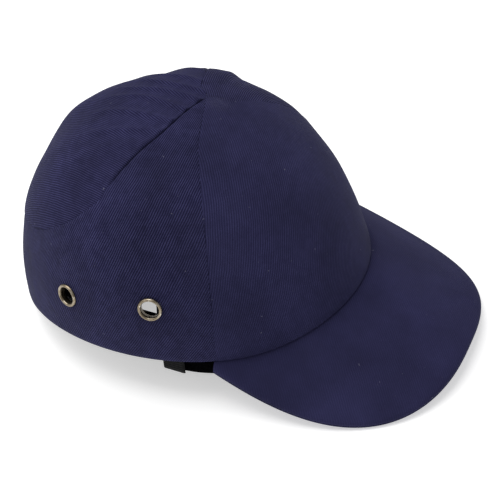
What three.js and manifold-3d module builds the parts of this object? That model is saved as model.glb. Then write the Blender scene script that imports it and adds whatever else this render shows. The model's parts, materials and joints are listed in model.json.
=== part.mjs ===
// A bump cap: a four-panel twill cap over a hard inner shell, with foam pads, a sweatband and an
// adjustable headband. Millimetres, +Z up. The brim points to -Y and the wearer's right is -X.
// Z = 0 is the surface that the cap stands on, touched by the rear hem and by the brim's two sides.
import * as THREE from "three";
import { mergeVertices } from "three/addons/utils/BufferGeometryUtils.js";
import Module from "manifold-3d";

const wasm = await Module();
wasm.setup();

// ---- Driving dimensions ----

// Crown, on its outer surface. Angles run round the cap: 0 is the front, 90 the wearer's right.
const HALF_WIDTH = 92;
const FRONT_LENGTH = 103.5;
const REAR_LENGTH = 101.2;
const CROWN_CENTRE = { y: -9.3, z: 122.6 };
const TOP_TILT = 0.211; // how steeply the top rises towards the rear, at the crown centre
// Each meridian is a cubic curve. These shape it at the front, the sides and the rear.
const MERIDIAN = {
  front: { rise: 0.475, reach: 0.493, bulge: -0.056 },
  side: { rise: 0.657, reach: 0.685, bulge: 0.014 },
  rear: { rise: 0.656, reach: 0.665, bulge: 0.018 },
};
const FABRIC = 1.6;
const GAP = 0.3;

// Hem and brim. The front hem follows the brim, which is arched and slopes down to its edge.
const BRIM_END_ANGLE = 60;
const BRIM_SLOPE = 0.35;
const BRIM_ARCH = 33;
const TEMPLE_HEM_Z = 27.2;
const HEM_FLATNESS = 1.9; // how far back the hem stays high before it drops to the rear
const HEM_LEVEL_ANGLE = 171.5; // behind this the hem lies flat on the ground
const BRIM_HALF_WIDTH = 83;
const BRIM_REACH = 114.6; // from the line of the brim's ends to its tip
const BRIM_FLARE = 0.082;
const BRIM_ROUNDNESS = 2.52;
const BRIM_COVER = 0.9;
const BRIM_BOARD = 1.2;

// Seams, as angles round the cap, and the rear seam's height as a fraction of the meridian.
const FRONT_SEAM = 59.7;
const REAR_SEAM = 103.9;
const SEAM_BEND = 0.55;
const SEAM_BACK = 0.27;
const SEAM_TURN = 14; // degrees in which the rear seam settles to its level run
const CROWN_TIP = 0.993; // panels stop just short of the point where they meet
// The cloth sits a little askew: its panels meet to the left of the crown's centre.
const MEETING = { x: 15.5, y: 1.5, reach: 0.3 };

// Eyelets, in the side panels.
const EYELETS = {
  front: { angle: 78, height: 33.6 }, // height above the hem
  rear: { angle: 107.1, height: 29 },
};
const EYELET_OUTER = 6.6;
const EYELET_HOLE = 4.8;

// Hard shell and its pads.
const SHELL_DEPTH = 5;
const SHELL_THICKNESS = 2.5;
const SHELL_EDGE = { front: 26, rear: 20, templeRise: 26, templeAngle: 74, templeSpread: 16 };
const SLOT_SECTORS = 12;
const PAD_DEPTH = SHELL_DEPTH + SHELL_THICKNESS + 1.8;

// Headband ring: straight sides joined by half ellipses at the front and the rear.
const RING = { halfWidth: 81.2, front: 97.5, rear: 91, straightFrom: -25, straightTo: 14 };
const BAND_BOTTOM = 10.5;
const BAND_HEIGHT = 36.5;
const STRAP = { bottom: 22, height: 28.5, thickness: 1.1, from: -24.6, to: 25 };
const PATCH_THICKNESS = 0.7;
const HANGER = { thickness: 1.1, width: 13, lap: 0.1 };
const HANGER_PLACES = { front: { y: -27, bottom: 13 }, rear: { y: 7, bottom: 21 } };

const root = new THREE.Group();

// ---- Materials ----

function material(color, roughness, metalness = 0) {
  return () => new THREE.MeshStandardMaterial({ color, roughness, metalness });
}
const twill = material(0x2b2b4e, 0.9);
const lining = material(0x1d1d2c, 0.9);
const board = material(0x8c8c88, 0.6);
const brass = material(0x9c8a66, 0.35, 1);
const shellPlastic = material(0x17171a, 0.4);
const foam = material(0x2a2a2e, 0.95);
const webbing = material(0x1b1b1f, 0.85);
const terry = material(0x141417, 0.98);
const blackPlastic = material(0x101012, 0.45);

function add(name, geometry, makeMaterial) {
  const mesh = new THREE.Mesh(geometry, makeMaterial());
  mesh.name = name;
  root.add(mesh);
  return mesh;
}

// ---- The crown's surface ----

const radians = THREE.MathUtils.degToRad;
const mix = THREE.MathUtils.lerp;

// A point of an ellipse with its own half-length at the front and at the rear.
function ovalPoint(angle, halfWidth, front, rear) {
  const along = Math.cos(radians(angle));
  return {
    x: -halfWidth * Math.sin(radians(angle)),
    y: -(along > 0 ? front : rear) * along,
  };
}

function brimHeight(x, y) {
  const end = ovalPoint(BRIM_END_ANGLE, HALF_WIDTH, FRONT_LENGTH, REAR_LENGTH);
  const arch = (at) => BRIM_ARCH * (at / HALF_WIDTH) ** 2;
  return TEMPLE_HEM_Z + BRIM_SLOPE * (y - end.y) - arch(x) + arch(end.x);
}

function hemHeight(angle) {
  const from = ((Math.abs(angle) % 360) + 360) % 360;
  const turn = from > 180 ? 360 - from : from;
  const { x, y } = ovalPoint(turn, HALF_WIDTH, FRONT_LENGTH, REAR_LENGTH);
  if (turn < BRIM_END_ANGLE) return brimHeight(x, y);
  const s = Math.min((turn - BRIM_END_ANGLE) / (HEM_LEVEL_ANGLE - BRIM_END_ANGLE), 1);
  return TEMPLE_HEM_Z * (1 - s * s) ** 2 * (1 + HEM_FLATNESS * s * s);
}

// The shape of a meridian: a mix of the side's shape with the front's or the rear's.
function meridianShape(angle, key) {
  const along = Math.cos(radians(angle));
  const end = along > 0 ? MERIDIAN.front : MERIDIAN.rear;
  return mix(MERIDIAN.side[key], end[key], along ** 2);
}

// How far out a point of the crown lies, as a fraction of its hem radius.
function spread(angle, u) {
  const w = 1 - u;
  const bulge = 1 + 2 * meridianShape(angle, "bulge");
  return w ** 3 + 3 * w * w * u * bulge + 3 * w * u * u * meridianShape(angle, "reach");
}

function crownPoint(angle, u) {
  const hem = ovalPoint(angle, HALF_WIDTH, FRONT_LENGTH, REAR_LENGTH);
  const [b1, b2, b3] = [3 * (1 - u) ** 2 * u, 3 * (1 - u) * u * u, u ** 3];
  const r = spread(angle, u);
  const base = hemHeight(angle);
  const rise = b1 * meridianShape(angle, "rise") + b2 + b3;
  const reach = meridianShape(angle, "reach");
  const tilt = b2 * TOP_TILT * reach * (hem.y - CROWN_CENTRE.y);
  return new THREE.Vector3(
    hem.x * r,
    mix(CROWN_CENTRE.y, hem.y, r),
    mix(base, CROWN_CENTRE.z, rise) + tilt,
  );
}

// The outward normal, from two short chords of the surface.
function crownNormal(angle, u) {
  if (u > 0.995) return new THREE.Vector3(0, -TOP_TILT, 1).normalize();
  const turn = 0.5;
  const climb = 0.004;
  const low = Math.max(u - climb, 0);
  const round = crownPoint(angle - turn, u).sub(crownPoint(angle + turn, u));
  const up = crownPoint(angle, u + climb).sub(crownPoint(angle, low));
  return round.cross(up).normalize();
}

// A point below the crown's outer surface. The hem's cut edge stands on the brim or is level.
function underCrown(angle, u, depth) {
  const point = crownPoint(angle, u).addScaledVector(crownNormal(angle, u), -depth);
  const onBrim = ((Math.abs(angle) % 360) + 360) % 360 < BRIM_END_ANGLE;
  if (u === 0) point.z = onBrim ? brimHeight(point.x, point.y) : hemHeight(angle);
  return point;
}

// The value between low and high at which isShort stops being true.
function search(low, high, isShort) {
  for (let step = 0; step < 28; step++) {
    const middle = (low + high) / 2;
    if (isShort(middle)) low = middle;
    else high = middle;
  }
  return (low + high) / 2;
}

// The fraction of a meridian at which the surface has climbed a given height above the hem.
function fractionAt(angle, height) {
  const isBelow = (u) => crownPoint(angle, u).z - hemHeight(angle) < height;
  return search(0, 0.9, isBelow);
}

// Moves a point of the cloth over the crown so that the seams run to the meeting point.
function gathered(angle, u) {
  const weight = 1 - THREE.MathUtils.smoothstep(spread(angle, u), 0, MEETING.reach);
  if (weight < 1e-4) return { angle, u };
  const from = crownPoint(angle, u);
  const x = from.x + weight * MEETING.x;
  const y = from.y + weight * MEETING.y - CROWN_CENTRE.y;
  const bearing = THREE.MathUtils.radToDeg(Math.atan2(-x, -y));
  const hemOffset = (turn) => {
    const hem = ovalPoint(turn, HALF_WIDTH, FRONT_LENGTH, REAR_LENGTH);
    return { x: hem.x, y: hem.y - CROWN_CENTRE.y };
  };
  const isShort = (turn) => {
    const hem = hemOffset(turn);
    const seen = THREE.MathUtils.radToDeg(Math.atan2(-hem.x, -hem.y));
    return ((((seen - bearing + 180) % 360) + 360) % 360) - 180 < 0;
  };
  const newAngle = search(bearing - 30, bearing + 30, isShort);
  const hem = hemOffset(newAngle);
  const wanted = Math.hypot(x, y) / Math.hypot(hem.x, hem.y);
  return { angle: newAngle, u: search(0, 1, (at) => spread(newAngle, at) > wanted) };
}

// The height at which the rear seam crosses a meridian.
function seamFraction(angle) {
  const turn = angle > 180 ? 360 - angle : angle;
  const past = Math.max(Math.abs(turn) - REAR_SEAM, 0);
  return SEAM_BACK + (SEAM_BEND - SEAM_BACK) * Math.exp(-past / SEAM_TURN);
}

// ---- Closed solids ----

function steps(from, to, count) {
  return Array.from({ length: count + 1 }, (_, i) => mix(from, to, i / count));
}

// A closed solid over the kept cells of a grid. place(column, row) gives the outer and the inner
// point of a grid corner. Edges of the patch are drawn in by inset, except along row 0.
function patchSolid({ columns, rows, place, keep = () => true, inset = 0, round = false }) {
  const corner = new Map();
  const at = (c, r) => {
    const column = round ? c % columns : c;
    const key = `${column},${r}`;
    if (!corner.has(key)) corner.set(key, { ...place(column, r), row: r, draw: [] });
    return corner.get(key);
  };
  const cells = [];
  for (let c = 0; c < columns; c++)
    for (let r = 0; r < rows; r++)
      if (keep(c, r)) cells.push([at(c, r), at(c + 1, r), at(c + 1, r + 1), at(c, r + 1)]);

  const ids = new Map([...corner.values()].map((point, i) => [point, i]));
  const rims = new Map();
  for (const cell of cells)
    cell.forEach((a, i) => {
      const b = cell[(i + 1) % 4];
      const back = `${ids.get(b)}-${ids.get(a)}`;
      if (rims.has(back)) rims.delete(back);
      else rims.set(`${ids.get(a)}-${ids.get(b)}`, { a, b, cell });
    });

  for (const { a, b, cell } of rims.values()) {
    const along = b.outer.clone().sub(a.outer);
    if ((a.row === 0 && b.row === 0) || along.length() < 1e-6) continue;
    along.normalize();
    const centre = new THREE.Vector3();
    cell.forEach((point) => centre.addScaledVector(point.outer, 0.25));
    const inward = centre.sub(a.outer);
    inward.addScaledVector(along, -inward.dot(along)).normalize();
    a.draw.push(inward);
    b.draw.push(inward);
  }
  for (const point of corner.values()) {
    const [first, second = first] = point.draw;
    if (!first || inset === 0) continue;
    const shift = first.clone().add(second);
    shift.multiplyScalar(inset / (1 + first.dot(second)));
    point.outer = point.outer.clone().add(shift);
    point.inner = point.inner.clone().add(shift);
  }

  const positions = [];
  const triangle = (a, b, c) => {
    const area = b.clone().sub(a).cross(c.clone().sub(a)).length();
    if (area > 1e-7) for (const p of [a, b, c]) positions.push(p.x, p.y, p.z);
  };
  const quad = (a, b, c, d) => {
    triangle(a, b, c);
    triangle(a, c, d);
  };
  for (const [a, b, c, d] of cells) {
    quad(a.outer, b.outer, c.outer, d.outer);
    quad(d.inner, c.inner, b.inner, a.inner);
  }
  for (const { a, b } of rims.values())
    if (a.outer.distanceTo(b.outer) > 1e-6) quad(a.outer, a.inner, b.inner, b.outer);
  return facingOut(positions);
}

// A geometry from loose triangles, merged, with its faces turned to point outwards.
function facingOut(positions) {
  const loose = new THREE.BufferGeometry();
  loose.setAttribute("position", new THREE.Float32BufferAttribute(positions, 3));
  const merged = mergeVertices(loose, 1e-4);
  const { array } = merged.attributes.position;
  const corners = merged.index.array;
  const point = (i) => new THREE.Vector3().fromArray(array, 3 * i);
  let volume = 0;
  for (let i = 0; i < corners.length; i += 3)
    volume += point(corners[i]).dot(point(corners[i + 1]).cross(point(corners[i + 2])));
  if (volume < 0)
    for (let i = 0; i < corners.length; i += 3)
      [corners[i + 1], corners[i + 2]] = [corners[i + 2], corners[i + 1]];
  return merged;
}

// A patch of the crown's surface, from one depth below it to another.
function crownPatch({ angles, fractions, depth, thickness, keep, inset = 0, ...kind }) {
  const { round = false, isCloth = false } = kind;
  return patchSolid({
    columns: round ? angles.length : angles.length - 1,
    rows: fractions.length - 1,
    keep,
    inset,
    round,
    place: (c, r) => {
      const flat = { angle: angles[c], u: fractions[r](angles[c]) };
      const { angle, u } = isCloth ? gathered(flat.angle, flat.u) : flat;
      return {
        outer: underCrown(angle, u, depth),
        inner: underCrown(angle, u, depth + thickness),
      };
    },
  });
}

// ---- Booleans ----

function toSolid(geometry) {
  const bare = geometry.clone();
  bare.deleteAttribute("normal");
  bare.deleteAttribute("uv");
  const merged = mergeVertices(bare, 1e-4);
  return new wasm.Manifold(
    new wasm.Mesh({
      numProp: 3,
      vertProperties: new Float32Array(merged.attributes.position.array),
      triVerts: new Uint32Array(merged.index.array),
    }),
  );
}

function toGeometry(solid) {
  const mesh = solid.getMesh();
  const geometry = new THREE.BufferGeometry();
  geometry.setAttribute("position", new THREE.BufferAttribute(mesh.vertProperties, 3));
  geometry.setIndex(new THREE.BufferAttribute(mesh.triVerts, 1));
  return geometry;
}

// The rotation and place that stand a shape's +Y axis along a direction.
function standing(position, direction) {
  const turn = new THREE.Quaternion().setFromUnitVectors(new THREE.Vector3(0, 1, 0), direction);
  return new THREE.Matrix4().compose(position, turn, new THREE.Vector3(1, 1, 1));
}

function drill(geometry, holes) {
  let solid = toSolid(geometry);
  for (const { position, direction, radius, length } of holes) {
    const bit = new THREE.CylinderGeometry(radius, radius, length, 24);
    bit.applyMatrix4(standing(position, direction));
    solid = solid.subtract(toSolid(bit));
  }
  return toGeometry(solid);
}

// ---- Places shared by several pieces ----

const SIDES = { right: 1, left: -1 };

function eyeletPlace(side, which) {
  const angle = SIDES[side] * EYELETS[which].angle;
  const u = fractionAt(angle, EYELETS[which].height);
  return { position: crownPoint(angle, u), direction: crownNormal(angle, u) };
}

// A point of the headband ring, pulled in by inset. Its straight sides lie between the two ovals.
function ringPoint(angle, inset) {
  const front = RING.front + RING.straightFrom - inset;
  const rear = RING.rear - RING.straightTo - inset;
  const oval = ovalPoint(angle, RING.halfWidth - inset, front, rear);
  const middle = Math.cos(radians(angle)) > 0 ? RING.straightFrom : RING.straightTo;
  return { x: oval.x, y: oval.y + middle };
}

// ---- Crown panels ----

const lowRows = steps(0, 1, 5).map((f) => (angle) => f * seamFraction(angle));
const highRows = steps(0, 1, 6).map((f) => (angle) => mix(seamFraction(angle), CROWN_TIP, f));
const crownRows = [...lowRows, ...highRows.slice(1)];
const bendRow = lowRows.length - 1;
const PANEL = { depth: 0, thickness: FABRIC, inset: GAP / 2, isCloth: true };

function frontPanel() {
  const angles = steps(-FRONT_SEAM, FRONT_SEAM, 14);
  add("front_panel", crownPatch({ angles, fractions: crownRows, ...PANEL }), twill);
}

function sidePanel(side) {
  const forward = steps(FRONT_SEAM, REAR_SEAM, 5);
  const behind = steps(REAR_SEAM, 180, 9).slice(1);
  const angles = [...forward, ...behind].map((angle) => SIDES[side] * angle);
  const keep = (c, r) => c < forward.length - 1 || r < bendRow;
  const panel = crownPatch({ angles, fractions: crownRows, keep, ...PANEL });
  const holes = Object.keys(EYELETS).map((which) => ({
    ...eyeletPlace(side, which),
    radius: EYELET_HOLE + 0.9,
    length: 12,
  }));
  add(`${side}_side_panel`, drill(panel, holes), twill);
}

function rearCrownPanel() {
  const angles = steps(REAR_SEAM, 360 - REAR_SEAM, 18);
  // Row 0 of this panel is a seam, so a spare row below it is left out of the patch.
  const fractions = [lowRows[bendRow - 1], ...highRows];
  const keep = (c, r) => r > 0;
  add("rear_crown_panel", crownPatch({ angles, fractions, keep, ...PANEL }), twill);
}

// ---- Tapes inside the crown ----

const HEM_TAPE_HEIGHT = 13;
const TAPE_DEPTH = FABRIC + 1.2;
const TAPE_THICKNESS = 0.7;

function hemTape() {
  const angles = steps(0, 360, 40).slice(0, -1);
  const fractions = [2.5, HEM_TAPE_HEIGHT].map((height) => (angle) => fractionAt(angle, height));
  const shape = { depth: TAPE_DEPTH, thickness: TAPE_THICKNESS, round: true };
  add("hem_tape", crownPatch({ angles, fractions, ...shape }), lining);
}

function seamTape(name, seam, fromHeight, fromFraction) {
  const halfAngle = 3.4;
  const angles = steps(seam - halfAngle, seam + halfAngle, 2);
  const start = (angle) => Math.max(fractionAt(angle, fromHeight), fromFraction);
  const fractions = steps(0, 1, 8).map((f) => (angle) => mix(start(angle), 0.9, f));
  const shape = { depth: TAPE_DEPTH, thickness: TAPE_THICKNESS, isCloth: true };
  add(name, crownPatch({ angles, fractions, ...shape }), lining);
}

// ---- Brim ----

// A point of the brim's outer edge, drawn in by margin. Across runs from -1 to 1.
function brimOutline(across, margin) {
  const turn = radians(90 * across);
  const end = ovalPoint(BRIM_END_ANGLE, HALF_WIDTH, FRONT_LENGTH, REAR_LENGTH);
  const power = 2 / BRIM_ROUNDNESS;
  const reach = Math.abs(Math.cos(turn)) ** power;
  const side = Math.sign(Math.sin(turn)) * Math.abs(Math.sin(turn)) ** power;
  return {
    x: -(BRIM_HALF_WIDTH - margin) * side * (1 + BRIM_FLARE * reach),
    y: end.y - (BRIM_REACH - margin) * reach,
  };
}

// A layer of the brim. The crown's hem stands on its inner edge; margin draws in its outer edge
// and its two ends.
function brimLayer(name, depth, thickness, margin, makeMaterial) {
  const columns = 24;
  const rows = 3;
  const tuck = 2.2;
  const halfEdge = 150; // about half of the length of the brim's edge
  const endShare = 1 - margin / halfEdge;
  const place = (c, r) => {
    const across = mix(-endShare, endShare, c / columns);
    const hem = ovalPoint(
      across * BRIM_END_ANGLE,
      HALF_WIDTH - tuck,
      FRONT_LENGTH - tuck,
      REAR_LENGTH,
    );
    const edge = brimOutline(across, margin);
    const x = mix(hem.x, edge.x, r / rows);
    const y = mix(hem.y, edge.y, r / rows);
    const z = brimHeight(x, y) - GAP - depth;
    return { outer: new THREE.Vector3(x, y, z), inner: new THREE.Vector3(x, y, z - thickness) };
  };
  add(name, patchSolid({ columns, rows, place }), makeMaterial);
}

function brim() {
  const edgeMargin = 1.2;
  brimLayer("brim_top_cover", 0, BRIM_COVER, 0, twill);
  brimLayer("brim_board", BRIM_COVER + GAP, BRIM_BOARD, edgeMargin, board);
  brimLayer("brim_under_cover", BRIM_COVER + BRIM_BOARD + 2 * GAP, BRIM_COVER, 0, twill);
}

// ---- Eyelets ----

// Sets a lathed ring along the surface normal at an eyelet's place.
function ringAlongNormal(name, place, profile) {
  const points = profile.map(([radius, height]) => new THREE.Vector2(radius, height));
  const geometry = new THREE.LatheGeometry([...points, points[0]], 20);
  geometry.applyMatrix4(standing(place.position, place.direction));
  const loose = geometry.toNonIndexed();
  add(name, facingOut([...loose.attributes.position.array]), brass);
}

function eyelet(side, which) {
  const place = eyeletPlace(side, which);
  const barrel = EYELET_HOLE + 0.4;
  const barrelEnd = -(FABRIC + 1.8);
  const lift = 0.35;
  const flange = [
    [EYELET_HOLE, barrelEnd],
    [barrel, barrelEnd],
    [barrel, lift],
    [EYELET_OUTER - 0.5, lift],
    [EYELET_OUTER, lift + 0.5],
    [EYELET_OUTER - 0.4, lift + 1.0],
    [EYELET_OUTER - 1.1, lift + 1.25],
    [EYELET_HOLE + 0.4, lift + 0.9],
    [EYELET_HOLE, lift + 0.3],
  ];
  ringAlongNormal(`eyelet_${side}_${which}`, place, flange);
  const washerTop = -(FABRIC + 1.1);
  const washer = [
    [barrel + GAP, washerTop - 0.6],
    [EYELET_OUTER - 0.2, washerTop - 0.6],
    [EYELET_OUTER - 0.2, washerTop],
    [barrel + GAP, washerTop],
  ];
  ringAlongNormal(`washer_${side}_${which}`, place, washer);
}

// ---- Hard shell ----

function shellEdge(angle) {
  const turn = Math.abs(angle > 180 ? angle - 360 : angle);
  const { front, rear, templeRise, templeAngle, templeSpread } = SHELL_EDGE;
  const base = mix(rear, front, (1 + Math.cos(radians(turn))) / 2);
  const temple = templeRise * Math.exp(-(((turn - templeAngle) / templeSpread) ** 2));
  return fractionAt(angle, base + temple);
}

// Each sector of the shell has one narrow slot column, cut out in two rows of slots.
function shellAngles() {
  const sector = 360 / SLOT_SECTORS;
  const cuts = [0, 0.4, 0.6];
  const firsts = Array.from({ length: SLOT_SECTORS }, (_, i) => i * sector);
  return firsts.flatMap((first) => cuts.map((cut) => first + cut * sector));
}

function bumpShell() {
  const levels = [0, 0.14, 0.28, 0.46, 0.56, 0.74, 0.88, 1];
  const slotRows = [2, 4];
  const fractions = levels.map((f) => (angle) => mix(shellEdge(angle), 1, f));
  const isSlot = (c, r) => c % 3 === 1 && slotRows.includes(r);
  const shell = crownPatch({
    angles: shellAngles(),
    fractions,
    depth: SHELL_DEPTH,
    thickness: SHELL_THICKNESS,
    keep: (c, r) => !isSlot(c, r),
    round: true,
  });
  const holes = hangerRivets().map(({ rivet }) => ({ ...rivet, radius: 2.2, length: 14 }));
  add("bump_shell", drill(shell, holes), shellPlastic);
}

// ---- Foam pads ----

function pad(name, angles, low, high, thickness, rows = 4) {
  const fractions = steps(0, 1, rows).map((f) => () => mix(low, high, f));
  const round = name === "crown_pad";
  const shape = { depth: PAD_DEPTH, thickness, round };
  add(name, crownPatch({ angles, fractions, ...shape }), foam);
}

function foamPads() {
  pad("crown_pad", steps(0, 360, 24).slice(0, -1), 0.68, 1, 8);
  pad("front_pad", steps(-30, 30, 8), 0.3, 0.56, 6);
  pad("rear_pad", steps(152, 208, 8), 0.36, 0.6, 6);
  pad("right_pad", steps(82, 116, 5), 0.44, 0.62, 6);
  pad("left_pad", steps(-116, -82, 5), 0.44, 0.62, 6);
}

// ---- Headband ----

// An upright band along part of the ring, given as an inset, a bottom height and a height.
function ringBand(name, angles, { inset, thickness, bottom, height }, makeMaterial) {
  const place = (c, r) => {
    const z = bottom + r * height;
    const outer = ringPoint(angles[c], inset);
    const inner = ringPoint(angles[c], inset + thickness);
    return {
      outer: new THREE.Vector3(outer.x, outer.y, z),
      inner: new THREE.Vector3(inner.x, inner.y, z),
    };
  };
  add(name, patchSolid({ columns: angles.length - 1, rows: 1, place }), makeMaterial);
}

// A flat upright strip along a straight side of the ring.
function sideStrip(name, side, { inset, thickness, bottom, height, from, to }, makeMaterial) {
  const strip = new THREE.BoxGeometry(thickness, to - from, height);
  const x = -SIDES[side] * (RING.halfWidth - inset - thickness / 2);
  strip.translate(x, (from + to) / 2, bottom + height / 2);
  add(name, strip, makeMaterial);
}

const STRAP_INSET = HANGER.thickness + GAP;
const LOOP_INSET = STRAP_INSET + STRAP.thickness + GAP;
const HOOK_INSET = LOOP_INSET + PATCH_THICKNESS + GAP;
const NAPE_INSET = HOOK_INSET + PATCH_THICKNESS + GAP;
const ARM_END = -4; // how far forward the nape strap's arms reach

function sweatband() {
  const thickness = 4;
  const shape = { inset: LOOP_INSET, thickness, bottom: BAND_BOTTOM, height: BAND_HEIGHT };
  ringBand("sweatband", steps(-90, 90, 36), shape, terry);
}

function headbandStrap(side) {
  const strap = { ...STRAP, inset: STRAP_INSET };
  sideStrip(`${side}_headband_strap`, side, strap, webbing);
  const margin = 2;
  const patch = {
    thickness: PATCH_THICKNESS,
    bottom: STRAP.bottom + margin,
    height: STRAP.height - 2 * margin,
  };
  const loop = { ...patch, inset: LOOP_INSET, from: STRAP.from + 3, to: STRAP.to - margin };
  sideStrip(`${side}_loop_patch`, side, loop, webbing);
  const hook = { ...patch, inset: HOOK_INSET, from: ARM_END + margin, to: RING.straightTo };
  sideStrip(`${side}_hook_patch`, side, hook, webbing);
}

// The nape strap is a half oval with straight arms that slide forward inside the side straps.
function napeStrap() {
  const { bottom, height, thickness } = STRAP;
  const turns = steps(90, 270, 28);
  const place = (c, r) => {
    const z = bottom + r * height;
    const onArm = c === 0 || c === turns.length + 1;
    const angle = turns[THREE.MathUtils.clamp(c - 1, 0, turns.length - 1)];
    const at = (inset) => {
      const { x, y } = ringPoint(angle, inset);
      return new THREE.Vector3(x, onArm ? ARM_END : Math.max(y, RING.straightTo), z);
    };
    return { outer: at(NAPE_INSET), inner: at(NAPE_INSET + thickness) };
  };
  add("nape_strap", patchSolid({ columns: turns.length + 1, rows: 1, place }), webbing);
}

// The angle at which a line of the crown at fraction u crosses a given y, on the right side.
function angleAcross(u, y) {
  return search(30, 150, (angle) => crownPoint(angle, u).y < y);
}

const NEAR_EDGE = 0.3; // a fraction of the meridian close to the shell's edge

// The point of the shell's inner side that lies a climb above its edge, and its normal.
function insideShell(y, climb, side) {
  const u = shellEdge(angleAcross(NEAR_EDGE, y)) + climb;
  const angle = angleAcross(u, y);
  const mirror = new THREE.Vector3(SIDES[side], 1, 1);
  return {
    position: underCrown(angle, u, PAD_DEPTH).multiply(mirror),
    direction: crownNormal(angle, u).multiply(mirror),
  };
}

// Each tab hangs the headband from the shell and is held by one rivet.
function hangerRivets() {
  return Object.keys(SIDES).flatMap((side) =>
    Object.entries(HANGER_PLACES).map(([which, { y, bottom }]) => {
      return { side, which, y, bottom, rivet: insideShell(y, HANGER.lap / 2, side) };
    }),
  );
}

// A tab stands against the band's outside, then leans in to lie along the shell's inner side.
function hanger({ side, which, y, bottom, rivet }) {
  const { thickness, width, lap } = HANGER;
  const strapTop = STRAP.bottom + STRAP.height + 0.2;
  const away = new THREE.Vector3(SIDES[side] * thickness, 0, 0);
  const place = (c, r) => {
    const across = y + (c / 2 - 0.5) * width;
    if (r < 2) {
      const x = -SIDES[side] * RING.halfWidth;
      const outer = new THREE.Vector3(x, across, r === 0 ? bottom : strapTop);
      return { outer, inner: outer.clone().add(away) };
    }
    const { position, direction } = insideShell(across, (lap * (r - 2)) / 2, side);
    return { outer: position, inner: position.clone().addScaledVector(direction, -thickness) };
  };
  const tab = patchSolid({ columns: 2, rows: 4, place });
  const hole = { ...rivet, radius: 2.2, length: 14 };
  add(`${side}_${which}_hanger`, drill(tab, [hole]), webbing);
  rivetThrough(`${side}_${which}_rivet`, rivet);
}

// A rivet with a head on each side of the shell and the tab.
function rivetThrough(name, { position, direction }) {
  const shaft = 1.8;
  const head = 3.6;
  const outside = SHELL_THICKNESS + 1.9;
  const inside = -(HANGER.thickness + 1.6);
  const profile = [
    [0, inside - 1.2],
    [head - 0.8, inside - 1.2],
    [head, inside - 0.5],
    [head, inside],
    [shaft, inside],
    [shaft, outside],
    [head - 0.6, outside],
    [head - 0.6, outside + 0.8],
    [0, outside + 0.8],
  ].map(([radius, height]) => new THREE.Vector2(radius, height));
  const geometry = new THREE.LatheGeometry(profile, 16);
  geometry.applyMatrix4(standing(position, direction));
  add(name, facingOut([...geometry.toNonIndexed().attributes.position.array]), blackPlastic);
}

// ---- Assembly ----

frontPanel();
sidePanel("right");
sidePanel("left");
rearCrownPanel();
hemTape();
for (const side of Object.keys(SIDES)) {
  const sign = SIDES[side];
  seamTape(`${side}_front_seam_tape`, sign * FRONT_SEAM, HEM_TAPE_HEIGHT + 2, 0);
  seamTape(`${side}_rear_seam_tape`, sign * REAR_SEAM, HEM_TAPE_HEIGHT + 2, SEAM_BEND + 0.04);
}
brim();
for (const side of Object.keys(SIDES))
  for (const which of Object.keys(EYELETS)) eyelet(side, which);
bumpShell();
foamPads();
sweatband();
for (const side of Object.keys(SIDES)) headbandStrap(side);
napeStrap();
hangerRivets().forEach(hanger);

// The row's origin is under the middle of the whole cap.
const extent = new THREE.Box3().setFromObject(root, true);
root.position.y = -(extent.min.y + extent.max.y) / 2;

export default root;
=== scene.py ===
import json
import math

import bmesh
import bpy
import numpy as np
from mathutils import Matrix, Vector


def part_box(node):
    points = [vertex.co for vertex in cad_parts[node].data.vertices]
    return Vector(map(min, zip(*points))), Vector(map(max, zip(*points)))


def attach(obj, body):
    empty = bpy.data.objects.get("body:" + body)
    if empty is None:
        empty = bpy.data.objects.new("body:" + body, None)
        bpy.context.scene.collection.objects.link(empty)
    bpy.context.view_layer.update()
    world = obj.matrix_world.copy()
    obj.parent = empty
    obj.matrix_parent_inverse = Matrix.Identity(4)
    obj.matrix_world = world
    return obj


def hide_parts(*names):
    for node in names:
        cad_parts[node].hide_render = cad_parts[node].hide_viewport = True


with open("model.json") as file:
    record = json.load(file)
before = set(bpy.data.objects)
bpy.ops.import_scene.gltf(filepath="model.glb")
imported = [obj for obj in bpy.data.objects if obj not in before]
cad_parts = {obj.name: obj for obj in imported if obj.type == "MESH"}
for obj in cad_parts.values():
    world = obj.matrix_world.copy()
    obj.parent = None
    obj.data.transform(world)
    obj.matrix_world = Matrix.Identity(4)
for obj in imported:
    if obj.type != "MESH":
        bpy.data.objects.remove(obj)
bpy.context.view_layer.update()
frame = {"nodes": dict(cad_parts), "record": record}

# ---- The cap's driving sizes, in metres, as in the CAD ----

MM = 0.001
HALF_WIDTH = 0.092
FRONT_LENGTH = 0.1035
REAR_LENGTH = 0.1012
CROWN_CENTRE_Y = -0.0093
CROWN_TOP = 0.1226
TOP_TILT = 0.211
# Rise, reach and bulge of a meridian at the front, the sides and the rear.
FRONT_SHAPE = (0.475, 0.493, -0.056)
SIDE_SHAPE = (0.657, 0.685, 0.014)
REAR_SHAPE = (0.656, 0.665, 0.018)
BRIM_END_ANGLE = 60
BRIM_SLOPE = 0.35
BRIM_ARCH = 0.033
TEMPLE_HEM = 0.0272
HEM_FLATNESS = 1.9
HEM_LEVEL_ANGLE = 171.5
BRIM_HALF_WIDTH = 0.083
BRIM_REACH = 0.1146
BRIM_FLARE = 0.082
BRIM_ROUNDNESS = 2.52
FABRIC = 0.0016
FRONT_SEAM = 59.7
REAR_SEAM = 103.9
SEAM_BEND = 0.55
SEAM_BACK = 0.27
SEAM_TURN = 14
# The crown's ellipses are centred here: the CAD's origin is under the middle of the whole cap.
AXIS_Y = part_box("brim_top_cover")[0][1] + FRONT_LENGTH / 2 + BRIM_REACH

EYELETS = {"front": (78, 0.0336), "rear": (107.1, 0.029)}  # angle, height above the hem
SHELL_DEPTH = 0.005
SHELL_THICKNESS = 0.0025
PAD_DEPTH = 0.0093
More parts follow.
